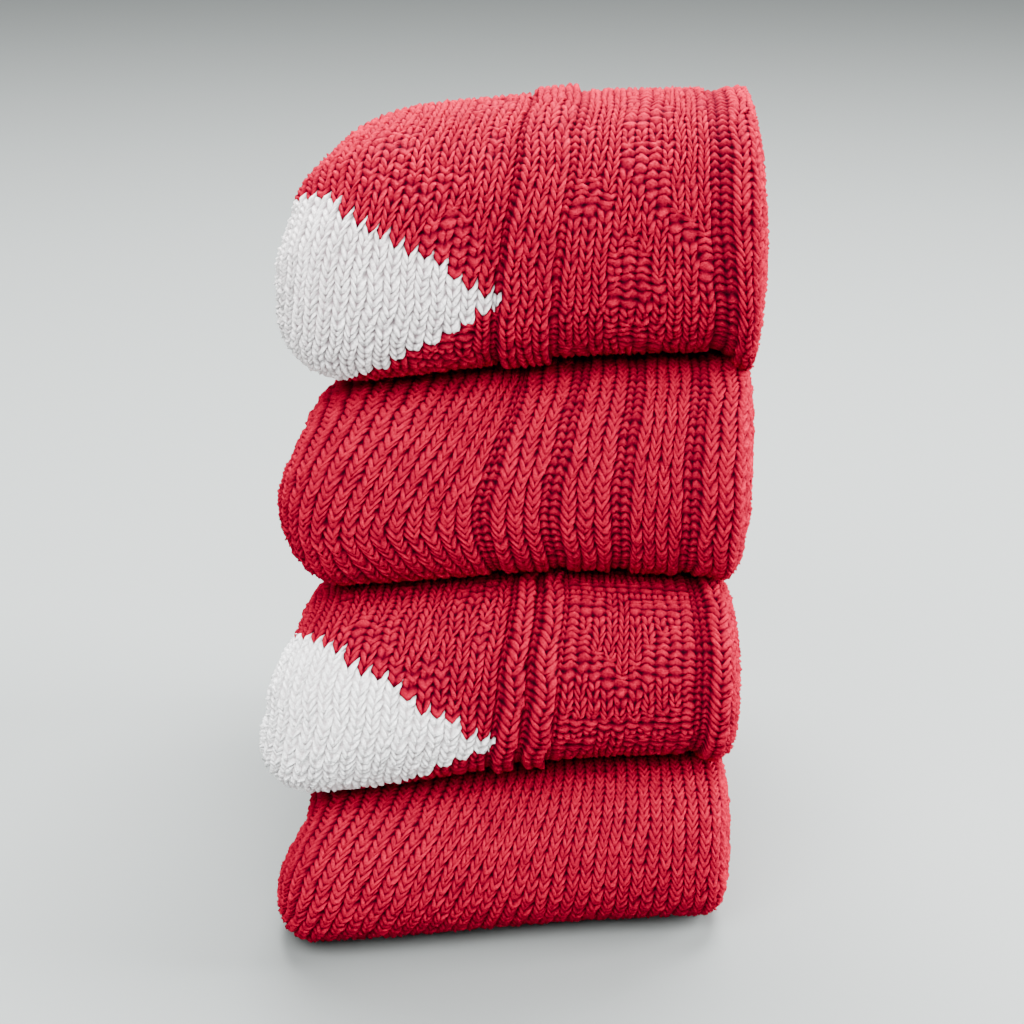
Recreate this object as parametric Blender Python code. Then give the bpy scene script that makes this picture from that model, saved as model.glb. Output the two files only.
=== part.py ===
"""A pair of long wool socks, each folded to and fro in four, one laid on the other.

A sock is a flattened knitted tube. Its path runs from the toe at the back, forward to the heel fold,
back to a turn, forward to the leg fold and back to the cuff. X runs along the folds, Y away from the
front of the folds and Z up. All sizes are in millimetres until a mesh is made.
"""
import math

import bmesh
import bpy
import numpy as np

METRE = 0.001

# Gaps between things that touch
LAYER_GAP = 1.0
SOCK_GAP = 0.6
SEAM_GAP = 0.3

# Places along Y
FRONT_AT = 26.0
BACK_AT = 148.0
TURN_REACH = 20.0
TOE_TIP_AT = 163.0
CUFF_END_AT = 166.0

# Toe and cuff
TOE_LENGTH = 44.0
TOE_ROUND = 36.0
TOE_FLATTENING = 15.0
TOE_RINGS = (0.6, 2.5, 7.0, 14.0, 24.0, 35.0, TOE_LENGTH)
CUFF_LENGTH = 42.0
CUFF_WALL = 3.6
CUFF_SLIT = 1.6
CUFF_SLIT_DEPTH = 14.0

# The turned heel: its tip as a share of the face, how blunt it is, how far past it the rings are
# drawn in, its columns on the other face, its rows, and how deep its bed lies in the red
HEEL_TIP = 0.449
HEEL_BLUNT = 0.09
HEEL_RELAX = 0.2
HEEL_WRAP = 1
HEEL_ROWS = 5
HEEL_EDGE_DIP = 0.9
HEEL_BED_DIP = 2.3

# Knitted relief
GUTTER_DEPTH = 1.3
LEG_GUTTER_HALF = 0.02
HEEL_GUTTER_HALF = 0.013
PATTERN_CHANGE = (2.1, 2.9)

# Places on the path: 0 toe tip, 1 to 2 heel fold, 3 to 4 turn, 5 to 6 leg fold, 7 cuff end
LAYER_STEPS = 3
FOLD_STEPS = 9
FINE_STEPS = 60

# One row a layer from the top: thickness at the front, thickness at the back
UPPER_LAYERS = ((30.0, 22.5), (24.5, 20.0), (22.6, 20.0), (22.2, 19.8))
LOWER_LAYERS = ((20.6, 18.4), (20.4, 18.0), (18.4, 16.4), (18.0, 16.4))

# One row a fold (heel fold, turn, leg fold): reach along Y, squareness
UPPER_FOLDS = ((27.0, 2.5), (TURN_REACH, 2.4), (23.6, 2.9))
LOWER_FOLDS = ((25.4, 2.7), (TURN_REACH, 2.4), (23.2, 3.0))

# One row a place on the path: place, left edge, right edge, left rounding, right rounding
UPPER_EDGES = (
    (0.0, -36.0, 44.0, 22.0, 15.0),
    (0.6, -36.0, 46.0, 22.0, 11.0),
    (1.0, -39.0, 50.0, 26.0, 5.0),
    (1.25, -46.0, 50.5, 22.0, 4.5),
    (1.5, -50.5, 51.0, 17.0, 5.0),
    (1.75, -50.5, 51.0, 15.0, 5.0),
    (2.0, -47.0, 49.5, 15.0, 7.0),
    (2.5, -40.0, 46.0, 15.0, 9.0),
    (3.0, -38.0, 45.0, 14.0, 10.0),
    (3.5, -39.0, 46.0, 13.0, 10.0),
    (4.0, -38.0, 45.0, 14.0, 10.0),
    (4.5, -38.0, 46.0, 16.0, 9.0),
    (5.0, -45.5, 47.5, 15.0, 6.0),
    (5.5, -51.0, 48.5, 13.0, 5.0),
    (6.0, -48.0, 47.5, 11.0, 6.0),
    (6.5, -40.0, 45.0, 14.0, 9.0),
    (7.0, -37.0, 42.0, 12.0, 10.0),
)
LOWER_EDGES = (
    (0.0, -37.0, 43.0, 20.0, 14.0),
    (0.6, -38.0, 45.0, 18.0, 10.0),
    (1.0, -44.0, 47.0, 18.0, 6.0),
    (1.5, -52.5, 48.5, 15.0, 5.0),
    (1.8, -56.5, 48.5, 12.0, 5.0),
    (2.0, -55.0, 47.5, 12.0, 7.0),
    (2.5, -42.0, 45.0, 13.0, 9.0),
    (3.0, -39.0, 44.0, 12.0, 10.0),
    (3.5, -40.0, 45.0, 12.0, 10.0),
    (4.0, -39.0, 44.0, 12.0, 9.0),
    (4.5, -39.0, 44.5, 12.0, 8.0),
    (5.0, -44.0, 45.0, 12.0, 5.0),
    (5.5, -52.0, 45.5, 10.0, 4.5),
    (6.0, -53.5, 45.0, 7.0, 5.0),
    (6.5, -42.0, 43.5, 9.0, 8.0),
    (7.0, -38.0, 41.0, 10.0, 9.0),
)

# One row a gutter: place on the leg's face, place on the heel's face, share of the depth on each
GUTTERS = (
    (0.325, 0.462, 1.0, 1.0),
    (0.440, 0.509, 1.0, 0.6),
    (0.582, 0.556, 1.0, 1.0),
    (0.702, 0.710, 1.0, 0.0),
    (0.820, 0.872, 1.0, 1.3),
)
# Columns left of the first gutter, as shares of the way to it, and columns at the right edge
PLAIN_COLUMNS = (0.0, 0.11, 0.22, 0.34, 0.47, 0.60, 0.73, 0.87)
LAST_COLUMNS = (0.925, 0.955, 0.98)

# The stack's sag, one row a height: height, drop at the left, drop at the right
SAG = (
    (0.0, 0.0, 0.0),
    (36.0, 4.0, 0.5),
    (80.0, 0.5, 3.0),
    (126.0, 3.5, 0.0),
    (185.0, 3.0, 0.0),
)
LEFT_REACH = (22.0, -48.0)
RIGHT_REACH = (0.0, 48.0)
FRONT_SWELL = 5.0
FRONT_SKEW = 0.07
FRONT_FADE = (30.0, 100.0)

RED_WOOL = (0.56, 0.012, 0.028, 1.0)
GREY_MARL = (0.62, 0.60, 0.60, 1.0)
WHITE_WOOL = (0.88, 0.87, 0.87, 1.0)

# One row a sock: its tables, how strongly its leg is ribbed, the heel's middle and half height
# along the path, and the heel's colour
SOCKS = {
    "upper": {
        "layers": UPPER_LAYERS,
        "folds": UPPER_FOLDS,
        "edges": UPPER_EDGES,
        "leg_relief": 1.0,
        "heel": (1.585, 0.375),
        "heel_colour": GREY_MARL,
    },
    "lower": {
        "layers": LOWER_LAYERS,
        "folds": LOWER_FOLDS,
        "edges": LOWER_EDGES,
        "leg_relief": 0.0,
        "heel": (1.575, 0.415),
        "heel_colour": WHITE_WOOL,
    },
}


def eased(rows, column, at):
    """Read one column of a table at a value of its first column, easing from row to row."""
    table = np.array(rows)
    key = table[:, 0]
    row = np.clip(np.searchsorted(key, at, side="right") - 1, 0, len(key) - 2)
    part = np.clip((at - key[row]) / (key[row + 1] - key[row]), 0.0, 1.0)
    part = part * part * (3.0 - 2.0 * part)
    return table[row, column] * (1.0 - part) + table[row + 1, column] * part


def ramp(value, start, end):
    """Ease from 0 at start to 1 at end."""
    part = np.clip((value - start) / (end - start), 0.0, 1.0)
    return part * part * (3.0 - 2.0 * part)


def stack_base(name):
    """Height of a sock's underside at the front and at the back."""
    if name == "lower":
        return (0.0, 0.0)
    layers = SOCKS["lower"]["layers"]
    gaps = LAYER_GAP * (len(layers) - 1) + SOCK_GAP
    return tuple(sum(row[end] for row in layers) + gaps for end in (0, 1))


def layer_heights(name, along):
    """Top and bottom of each layer, from the top, at a share along from front to back."""
    base = stack_base(name)
    bottom = base[0] + (base[1] - base[0]) * along
    heights = []
    for front, back in reversed(SOCKS[name]["layers"]):
        top = bottom + front + (back - front) * along
        heights.insert(0, (top, bottom))
        bottom = top + LAYER_GAP
    return heights


def layer_faces(name, layer, part):
    """Points (Y, Z) of a flat layer's two faces, the one that looks out at the folds first."""
    back = {0: TOE_TIP_AT, 3: CUFF_END_AT}.get(layer, BACK_AT)
    forward = layer % 2 == 0
    y = back + (FRONT_AT - back) * part if forward else FRONT_AT + (back - FRONT_AT) * part
    top, bottom = layer_heights(name, (y - FRONT_AT) / (BACK_AT - FRONT_AT))[layer]
    faces = ((y, top), (y, bottom))
    return faces if forward else faces[::-1]


def fold_faces(name, fold, part):
    """Points (Y, Z) of the two faces in a fold: the outer is a superellipse, the inner a tight arc."""
    reach, squareness = SOCKS[name]["folds"][fold]
    at_turn = fold == 1
    heights = layer_heights(name, 1.0 if at_turn else 0.0)
    top, slit_top = heights[fold]
    slit_bottom, bottom = heights[fold + 1]
    middle = (slit_top + slit_bottom) / 2.0
    angle = math.pi * (0.5 - part)
    cosine = abs(math.cos(angle)) ** (2.0 / squareness)
    sine = math.copysign(abs(math.sin(angle)) ** (2.0 / squareness), math.sin(angle))
    height = (top - middle) if sine > 0.0 else (middle - bottom)
    centre = BACK_AT if at_turn else FRONT_AT
    side = 1.0 if at_turn else -1.0
    outer = (centre + side * reach * cosine, middle + sine * height)
    slit = LAYER_GAP / 2.0
    inner = (centre + side * slit * math.cos(angle), middle + slit * math.sin(angle))
    return (inner, outer) if at_turn else (outer, inner)


def half_section(left, right, left_round, right_round, half):
    """Fine outline of one face from the left edge to the right: X, share of thickness, length."""
    turn = np.linspace(0.0, math.pi / 2.0, 24)
    left_x = left + left_round * (1.0 - np.cos(turn))
    right_x = right - right_round * (1.0 - np.cos(turn))
    x = np.concatenate([left_x, right_x[::-1]])
    share = np.concatenate([np.sin(turn), np.sin(turn)[::-1]])
    step = np.hypot(np.diff(x), np.diff(share * half))
    return x, share, np.concatenate([[0.0], np.cumsum(step)])


def face_columns(name, place):
    """Columns of one face as shares of its width from the left edge, and the relief at each."""
    change = float(ramp(place, *PATTERN_CHANGE))
    half = HEEL_GUTTER_HALF + (LEG_GUTTER_HALF - HEEL_GUTTER_HALF) * change
    leg_relief = SOCKS[name]["leg_relief"]
    columns = []
    relief = []
    for leg, heel, leg_share, heel_share in GUTTERS:
        centre = heel + (leg - heel) * change
        depth = heel_share * (1.0 - change) + leg_share * leg_relief * change
        if columns:
            columns.append((columns[-1] + centre - half) / 2.0)
            relief.append(0.0)
        else:
            columns.extend(column * (centre - half) for column in PLAIN_COLUMNS)
            relief.extend([0.0] * len(PLAIN_COLUMNS))
        columns.extend([centre - half, centre, centre + half])
        relief.extend([0.0, depth * GUTTER_DEPTH, 0.0])
    columns.extend(LAST_COLUMNS)
    relief.extend([0.0] * len(LAST_COLUMNS))
    return np.array(columns), np.array(relief)


def ring(name, place, wide=1.0, thick=1.0):
    """One ring of the tube at a place on its path: points (X, Y, Z) and relief depths.

    It runs over the first face from the left edge and comes back over the other face.
    """
    left, right, left_round, right_round = (
        float(eased(SOCKS[name]["edges"], column, place)) for column in (1, 2, 3, 4)
    )
    centre = (left + right) / 2.0
    left = centre + (left - centre) * wide
    right = centre + (right - centre) * wide
    stage = min(int(place), 6)
    in_fold = stage % 2 == 1 and place > stage
    if in_fold:
        faces = np.array(fold_faces(name, stage // 2, place - stage))
    else:
        faces = np.array(layer_faces(name, stage // 2, 1.0 if stage % 2 else place - stage))
    middle = faces.mean(axis=0)
    half = np.linalg.norm(faces[0] - faces[1]) / 2.0 * thick
    x, share, length = half_section(left, right, left_round * wide, right_round * wide, half)
    columns, relief = face_columns(name, place)
    points = []
    for face, at in ((0, columns), (1, np.concatenate([[1.0], columns[:0:-1]]))):
        along = at * length[-1]
        offset = (faces[face] - middle)[None, :] * np.interp(along, length, share)[:, None] * thick
        points.append(np.column_stack([np.interp(along, length, x), middle + offset]))
    hidden_face = {0: 1, 1: 0, 2: 1}[stage // 2] if in_fold else None
    depths = [relief, np.concatenate([[0.0], relief[:0:-1]])]
    if hidden_face is not None:
        depths[hidden_face] = depths[hidden_face] * 0.0
    return np.concatenate(points), np.concatenate(depths)


def sagged(points):
    """The stack's own sag: its left end hangs lower and swells forward."""
    x, y, z = points[..., 0], points[..., 1], points[..., 2]
    left = ramp(x, *LEFT_REACH)
    right = ramp(x, *RIGHT_REACH)
    front = 1.0 - ramp(y, *FRONT_FADE)
    moved_y = y + (FRONT_SKEW * x - FRONT_SWELL * left) * front
    moved_z = z - eased(SAG, 1, z) * left - eased(SAG, 2, z) * right
    return np.stack([x, moved_y, moved_z], axis=-1)


def outward(grid):
    """Outward unit normals of a grid of rings that closes round its second axis.

    The end rings' normals stay in the ring's own upright plane, so that a seam keeps its gap.
    """
    along = np.gradient(grid, axis=0)
    around = np.roll(grid, -1, axis=1) - np.roll(grid, 1, axis=1)
    normal = np.cross(along, around)
    normal[[0, -1], :, 1] = 0.0
    normal /= np.maximum(np.linalg.norm(normal, axis=-1, keepdims=True), 1e-9)
    return normal


def tube(name, rings, ribbed=1.0):
    """Rings (place, wide, thick) as a grid of points, with the gutters between ribs pressed in."""
    pairs = [ring(name, *row) for row in rings]
    grid = sagged(np.array([pair[0] for pair in pairs]))
    relief = np.array([pair[1] for pair in pairs]) * ribbed
    return grid - outward(grid) * relief[..., None]


def halves(corners):
    """The two triangles of a four-cornered cell, always cut along the same diagonal."""
    first, second, third, fourth = corners
    return [(first, second, third), (first, third, fourth)]


def cell_corners(row, column, columns):
    """Numbers of the four points round a cell between two rings of a closed tube."""
    after = (column + 1) % columns
    first = row * columns
    second = first + columns
    return [first + column, first + after, second + after, second + column]


def tube_faces(rings, columns):
    """Triangles of a closed tube whose rings are numbered in order."""
    faces = []
    for row in range(rings - 1):
        for column in range(columns):
            faces.extend(halves(cell_corners(row, column, columns)))
    return faces


def closed_tube(grid):
    """Points and faces of a tube whose two ends are closed by fans."""
    rings, columns = grid.shape[:2]
    points = [tuple(point) for point in grid.reshape(-1, 3)]
    faces = tube_faces(rings, columns)
    for row in (0, rings - 1):
        middle = len(points)
        points.append(tuple(grid[row].mean(axis=0)))
        first = row * columns
        for column in range(columns):
            faces.append((first + column, first + (column + 1) % columns, middle))
    return points, faces


def wool(name, colour):
    """Matt wool material of one colour."""
    material = bpy.data.materials.new(name)
    material.use_nodes = True
    shader = material.node_tree.nodes["Principled BSDF"]
    shader.inputs["Base Color"].default_value = colour
    shader.inputs["Roughness"].default_value = 0.9
    shader.inputs["Metallic"].default_value = 0.0
    return material


def add_object(name, points, faces, material, collection):
    """A mesh object in metres with its faces pointing out."""
    mesh = bpy.data.meshes.new(name)
    mesh.from_pydata([tuple(METRE * value for value in point) for point in points], [], faces)
    shape = bmesh.new()
    shape.from_mesh(mesh)
    bmesh.ops.recalc_face_normals(shape, faces=shape.faces)
    shape.to_mesh(mesh)
    shape.free()
    mesh.shade_smooth()
    mesh.set_sharp_from_angle(angle=math.radians(50.0))
    mesh.materials.append(material)
    thing = bpy.data.objects.new(name, mesh)
    collection.objects.link(thing)
    return thing


def toe_rings():
    """Rings from the toe's rounded tip to its seam."""
    rows = []
    for distance in TOE_RINGS:
        wide = math.sqrt(1.0 - (1.0 - min(distance / TOE_ROUND, 1.0)) ** 2)
        thick = math.sqrt(1.0 - (1.0 - min(distance / TOE_FLATTENING, 1.0)) ** 2)
        rows.append((distance / (TOE_TIP_AT - FRONT_AT), wide, thick))
    return rows


def body_places(name):
    """Places of the red tube's rings at the left edge, between the toe's seam and the cuff's."""
    heel_middle, heel_half = SOCKS[name]["heel"]
    first = (TOE_LENGTH + SEAM_GAP) / (TOE_TIP_AT - FRONT_AT)
    last = 7.0 - (CUFF_LENGTH + SEAM_GAP) / (CUFF_END_AT - FRONT_AT)
    heel_top = heel_middle - heel_half
    heel_low = heel_middle + heel_half
    spans = ((first, 1.0, LAYER_STEPS), (1.0, heel_top, 3), (heel_top, heel_low, HEEL_ROWS))
    spans += ((heel_low, 2.0, 1), (2.0, 3.0, LAYER_STEPS), (3.0, 4.0, FOLD_STEPS))
    spans += ((4.0, 5.0, LAYER_STEPS), (5.0, 6.0, FOLD_STEPS), (6.0, last, LAYER_STEPS))
    places = [first]
    for start, end, steps in spans:
        places.extend(start + (end - start) * step / steps for step in range(1, steps + 1))
    return np.array(places)


def heel_slant(name, places, columns):
    """Places (ring, column) drawn together towards the heel's tip, so that rings follow its edges."""
    middle, half = SOCKS[name]["heel"]
    before = np.maximum(1.0 - columns / HEEL_TIP, HEEL_BLUNT)
    after = HEEL_BLUNT + (1.0 - HEEL_BLUNT) * ramp(columns, HEEL_TIP, HEEL_TIP + HEEL_RELAX)
    share = np.where(columns <= HEEL_TIP, before, after)
    share = np.concatenate([share, np.ones(len(columns))])
    knots = [1.0, middle - half, middle + half, 2.0]
    slanted = []
    for part in share:
        slanted.append(np.interp(places, knots, [1.0, middle - half * part, middle + half * part, 2.0]))
    in_fold = (places > 1.0) & (places < 2.0)
    return np.where(in_fold[:, None], np.array(slanted).T, places[:, None])


def body_grid(name, places):
    """The red tube's points, its rings slanted along the heel's edges in the heel fold."""
    fine = np.linspace(1.0, 2.0, FINE_STEPS)
    columns, _ = face_columns(name, 1.5)
    slanted = heel_slant(name, places, columns)
    grid = tube(name, [(place, 1.0, 1.0) for place in places])
    fold = tube(name, [(place, 1.0, 1.0) for place in fine])
    rows = np.flatnonzero((places > 1.0) & (places < 2.0))
    for column in range(grid.shape[1]):
        for axis in range(3):
            grid[rows, column, axis] = np.interp(slanted[rows, column], fine, fold[:, column, axis])
    return grid


def cuff_rings(name):
    """Rings of the cuff: its outside to the back, then in through the flattened opening."""
    length = CUFF_END_AT - FRONT_AT
    edges = SOCKS[name]["edges"][-1]
    thickness = SOCKS[name]["layers"][-1][1]
    wide = 1.0 - 2.0 * CUFF_WALL / (edges[2] - edges[1])
    thick = CUFF_SLIT / thickness
    start = 7.0 - CUFF_LENGTH / length
    outside = [(start + (7.0 - start) * step / 4.0, 1.0, 1.0) for step in range(5)]
    inside = [(7.0, wide, thick), (7.0 - CUFF_SLIT_DEPTH / length, wide, thick)]
    return outside + inside


def heel_cells(name, places):
    """Which cells between rings and columns the heel covers, as rows of ring by column."""
    columns, _ = face_columns(name, 1.5)
    count = len(columns)
    middle, half = SOCKS[name]["heel"]
    rows = np.abs((places[:-1] + places[1:]) / 2.0 - middle) < half
    cells = np.zeros((len(rows), 2 * count), dtype=bool)
    cells[:, :count] = rows[:, None] & (columns < HEEL_TIP - 0.001)[None, :]
    cells[:, -HEEL_WRAP:] = rows[:, None]
    return cells


def heel_dip(name, cells):
    """How deep the heel's bed lies at each ring and column: shallow at its edge and towards its tip."""
    counts = corner_counts(cells)
    columns, _ = face_columns(name, 1.5)
    depth = 1.0 - ramp(columns, 0.0, HEEL_TIP)
    depth = np.concatenate([depth, np.ones(len(columns))])
    bed = HEEL_EDGE_DIP + (HEEL_BED_DIP - HEEL_EDGE_DIP) * depth
    return np.where(counts == 4, bed[None, :], np.where(counts > 0, HEEL_EDGE_DIP, 0.0))


def corner_counts(cells):
    """How many heel cells meet at each ring and column."""
    rows = np.zeros((cells.shape[0] + 1, cells.shape[1]), dtype=int)
    for down in (0, 1):
        for side in (0, 1):
            rows[down:down + cells.shape[0]] += np.roll(cells, side, axis=1)
    return rows


def heel_patch(grid, bed, cells):
    """Points and faces of the heel: the tube's own surface over a copy of its bed."""
    counts = corner_counts(cells)
    used = np.flatnonzero(counts.reshape(-1) > 0)
    index = {int(corner): number for number, corner in enumerate(used)}
    outer = grid.reshape(-1, 3)[used]
    inner = bed.reshape(-1, 3)[used]
    points = [tuple(point) for point in np.concatenate([outer, inner])]
    columns = cells.shape[1]
    faces = []
    edges = {}
    for row, column in zip(*np.nonzero(cells)):
        loop = [index[int(corner)] for corner in cell_corners(row, column, columns)]
        for triangle in halves(loop):
            faces.append(triangle)
            faces.append(tuple(number + len(used) for number in reversed(triangle)))
        for start, end in zip(loop, loop[1:] + loop[:1]):
            edges[(start, end)] = True
    for start, end in edges:
        if (end, start) not in edges:
            faces.extend(halves((end, start, start + len(used), end + len(used))))
    return points, faces


def build_sock(name, collection, red):
    """Toe, red tube, heel and cuff of one sock."""
    accent = wool(name + "_heel_wool", SOCKS[name]["heel_colour"])
    points, faces = closed_tube(tube(name, toe_rings(), ribbed=0.0))
    add_object(name + "_toe", points, faces, accent, collection)

    places = body_places(name)
    grid = body_grid(name, places)
    cells = heel_cells(name, places)
    dip = heel_dip(name, cells)
    normal = outward(grid)
    bed = grid - normal * dip[..., None]
    points, faces = closed_tube(bed)
    add_object(name + "_sock", points, faces, red, collection)

    patch_inner = grid - normal * np.maximum(dip - SEAM_GAP, 0.0)[..., None]
    points, faces = heel_patch(grid, patch_inner, cells)
    add_object(name + "_heel", points, faces, accent, collection)

    points, faces = closed_tube(tube(name, cuff_rings(name)))
    add_object(name + "_cuff", points, faces, red, collection)


def centre_on_origin(things):
    """Move the meshes so that the middle of the whole box's underside is the origin."""
    corners = np.concatenate([mesh_points(thing) for thing in things])
    low, high = corners.min(axis=0), corners.max(axis=0)
    shift = np.array([(low[0] + high[0]) / 2.0, (low[1] + high[1]) / 2.0, low[2]])
    for thing in things:
        points = mesh_points(thing) - shift
        thing.data.vertices.foreach_set("co", points.reshape(-1))
        thing.data.update()


def mesh_points(thing):
    """A mesh's points as rows."""
    values = np.empty(len(thing.data.vertices) * 3)
    thing.data.vertices.foreach_get("co", values)
    return values.reshape(-1, 3)


def main():
    """Build both socks."""
    for thing in list(bpy.data.objects):
        bpy.data.objects.remove(thing)
    collection = bpy.data.collections.new("pair_of_socks")
    bpy.context.scene.collection.children.link(collection)
    red = wool("red_wool", RED_WOOL)
    for name in SOCKS:
        build_sock(name, collection, red)
    centre_on_origin(list(collection.objects))


main()
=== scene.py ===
"""Looks of a pair of long knitted wool socks, folded to and fro and stacked.

Each sock is one knitted tube. Its surface is a function of two numbers, the wale (a column of stitches
round the tube) and the course (a row of stitches along it), and every stitch is raised from that surface
by a formula. Sizes in the tables are in millimetres until a mesh is made.
"""
import math

import bpy
import numpy as np
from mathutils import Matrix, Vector


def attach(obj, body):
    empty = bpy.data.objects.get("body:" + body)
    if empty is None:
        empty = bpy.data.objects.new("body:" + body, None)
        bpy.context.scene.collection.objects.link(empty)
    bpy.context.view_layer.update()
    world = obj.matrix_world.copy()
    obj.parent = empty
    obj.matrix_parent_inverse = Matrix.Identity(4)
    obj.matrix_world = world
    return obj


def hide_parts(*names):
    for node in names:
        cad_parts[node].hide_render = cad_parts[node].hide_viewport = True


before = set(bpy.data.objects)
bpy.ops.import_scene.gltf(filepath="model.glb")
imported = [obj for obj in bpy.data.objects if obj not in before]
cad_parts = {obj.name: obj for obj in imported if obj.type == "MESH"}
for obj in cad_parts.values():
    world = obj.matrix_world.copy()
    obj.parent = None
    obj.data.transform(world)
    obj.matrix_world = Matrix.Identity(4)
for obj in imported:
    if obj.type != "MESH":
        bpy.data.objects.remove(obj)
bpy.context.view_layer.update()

bl_info = {
    "name": "Knitted socks",
    "version": (1, 0, 0),
    "blender": (4, 5, 0),
    "location": "3D View > Sidebar > Socks",
    "description": "Knits a folded pair of wool socks stitch by stitch",
    "category": "Add Mesh",
}

MILLIMETRE = 0.001  # in metres
FACE_WALES = 38
WALES = 2 * FACE_WALES
SHIFT = (-2.717, 80.057, 0.0)  # from the tables' millimetres to the model's own origin

# The folded tube, as the solids have it. Its path has seven stages, and a place on it is a stage's number
# and the share of that stage: layers are even, the folds at the front and the turn at the back are odd.
STAGES = 7
PATH_END = float(STAGES)
PATH_STEP = 0.006
LAYER_GAP = 1.0
SOCK_GAP = 0.6
FRONT_AT = 26.0
BACK_AT = 148.0
TURN_REACH = 20.0
TOE_TIP_AT = 163.0
CUFF_END_AT = 166.0
TOE_LENGTH = 44.0
TOE_ROUND = 36.0
TOE_FLATTENING = 15.0
CUFF_LENGTH = 42.0
CUFF_WALL = 3.6
CUFF_SLIT = 1.6
CUFF_SLIT_DEPTH = 14.0
PATTERN_CHANGE = (2.1, 2.9)
LEG_START = 2.5
TOE_PLACE = TOE_LENGTH / (TOE_TIP_AT - FRONT_AT)
CUFF_PLACE = PATH_END - CUFF_LENGTH / (CUFF_END_AT - FRONT_AT)

# Height, and how far the stack sags there at its left and at its right
SAG = (
    (0.0, 0.0, 0.0),
    (36.0, 4.0, 0.5),
    (80.0, 0.5, 3.0),
    (126.0, 3.5, 0.0),
    (185.0, 3.0, 0.0),
)

# Height, and how far the folds' right edges droop there
DROOP = (
    (0.0, 0.0),
    (37.3, 0.0),
    (38.6, 3.0),
    (52.0, 0.0),
    (80.3, 0.0),
    (81.2, 3.5),
    (96.0, 0.0),
    (126.7, 0.0),
    (128.0, 5.0),
    (150.0, 0.0),
    (190.0, 0.0),
)
DROOP_REACH = (39.0, 49.0)
LEFT_REACH = (22.0, -48.0)
RIGHT_REACH = (0.0, 48.0)
FRONT_SWELL = 5.0
FRONT_SKEW = 0.07
FRONT_FADE = (30.0, 100.0)

# Place, the tube's left and right edges, and how far its rounding reaches in at the left and the right
UPPER_EDGES = (
    (0.0, -36.0, 44.0, 22.0, 15.0),
    (0.6, -36.0, 48.5, 22.0, 5.0),
    (1.0, -41.3, 49.4, 24.0, 3.5),
    (1.25, -47.2, 49.8, 21.5, 3.5),
    (1.5, -50.5, 50.6, 17.0, 4.5),
    (1.75, -50.5, 50.4, 15.0, 4.0),
    (2.0, -47.0, 50.4, 15.0, 3.5),
    (2.5, -40.0, 50.4, 15.0, 2.5),
    (3.0, -38.0, 47.0, 14.0, 10.0),
    (3.5, -39.0, 46.0, 13.0, 10.0),
    (4.0, -38.0, 47.0, 14.0, 10.0),
    (4.5, -38.0, 50.2, 16.0, 2.5),
    (5.0, -45.5, 49.4, 15.0, 3.5),
    (5.5, -51.0, 48.5, 13.0, 5.0),
    (6.0, -48.0, 47.5, 11.0, 6.0),
    (6.5, -40.0, 46.5, 14.0, 9.0),
    (7.0, -37.0, 42.0, 12.0, 10.0),
)
LOWER_EDGES = (
    (0.0, -37.0, 43.0, 20.0, 14.0),
    (0.6, -38.0, 45.0, 18.0, 10.0),
    (1.0, -47.8, 46.6, 16.0, 5.0),
    (1.5, -54.5, 47.0, 15.0, 4.0),
    (1.8, -56.5, 47.4, 12.0, 5.0),
    (2.0, -55.0, 47.5, 12.0, 7.0),
    (2.5, -42.0, 47.0, 13.0, 9.0),
    (3.0, -39.0, 44.0, 12.0, 10.0),
    (3.5, -40.0, 45.0, 12.0, 10.0),
    (4.0, -39.0, 44.0, 12.0, 9.0),
    (4.5, -39.0, 46.5, 12.0, 8.0),
    (5.0, -47.0, 45.6, 12.0, 4.0),
    (5.5, -52.5, 45.5, 10.0, 4.5),
    (6.0, -53.5, 45.0, 7.0, 5.0),
    (6.5, -42.0, 43.5, 9.0, 8.0),
    (7.0, -38.0, 41.0, 10.0, 9.0),
)

# How the wales are spread over a face: kind, number of wales, share of the face where they end
UPPER_FOOT = (
    ("plain", 16, 0.438),
    ("groove", 1, 0.450),
    ("plait", 3, 0.535),
    ("purl", 1, 0.552),
    ("panel", 10, 0.803),
    ("gutter", 2, 0.842),
    ("plain", 5, 1.0),
)
UPPER_LEG = (
    ("ridge", 14, 0.412),
    ("gutter", 2, 0.443),
    ("ridge", 3, 0.532),
    ("gutter", 2, 0.568),
    ("ridge", 3, 0.660),
    ("gutter", 2, 0.695),
    ("ridge", 4, 0.788),
    ("gutter", 2, 0.820),
    ("ridge", 6, 1.0),
)
LOWER_FOOT = (
    ("plain", 16, 0.466),
    ("groove", 1, 0.476),
    ("plait", 1, 0.516),
    ("groove", 1, 0.530),
    ("plait", 1, 0.572),
    ("purl", 1, 0.582),
    ("panel", 10, 0.826),
    ("gutter", 2, 0.852),
    ("plait", 1, 0.893),
    ("plain", 4, 1.0),
)
LOWER_LEG = (("ridge", 10, 0.310), ("ridge", 28, 1.0))

# The panels' stitches from their first course down, as the eye meets them: P where the purl side shows
UPPER_CHART = (
    "..........", "...PPPP...", "...PPP....", "...PPP....", "....PPP...", "PP..PPP...", "PP...PP...",
    "PPP..PP...", "PPP...P...", "PP....PP..", ".......PP.", "...P...PP.", "....P...PP", "....P....P",
    "...PPP...P", "...PPP...P", "....PP...P", "...PPPP..P", "...PPPP...", "...PPP....", "P..PP.....",
    "..........",
)
LOWER_CHART = (
    "PPP..PPPPP", "PPPP.PPPPP", "PPP..PPPPP", "P........P", "P.......PP", "PP.....PPP", "PP.....PPP",
    "PP....PPPP", "PPP...PPPP", "PPPP.PPPPP", "PPPP.PPPPP", "P.PPPPP.PP", "...PPP...P", "....P....P",
    ".........P", "........PP", "P.....PPPP", "PPPPPPPPPP", "PPPPPPPPPP", "..........",
)

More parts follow.
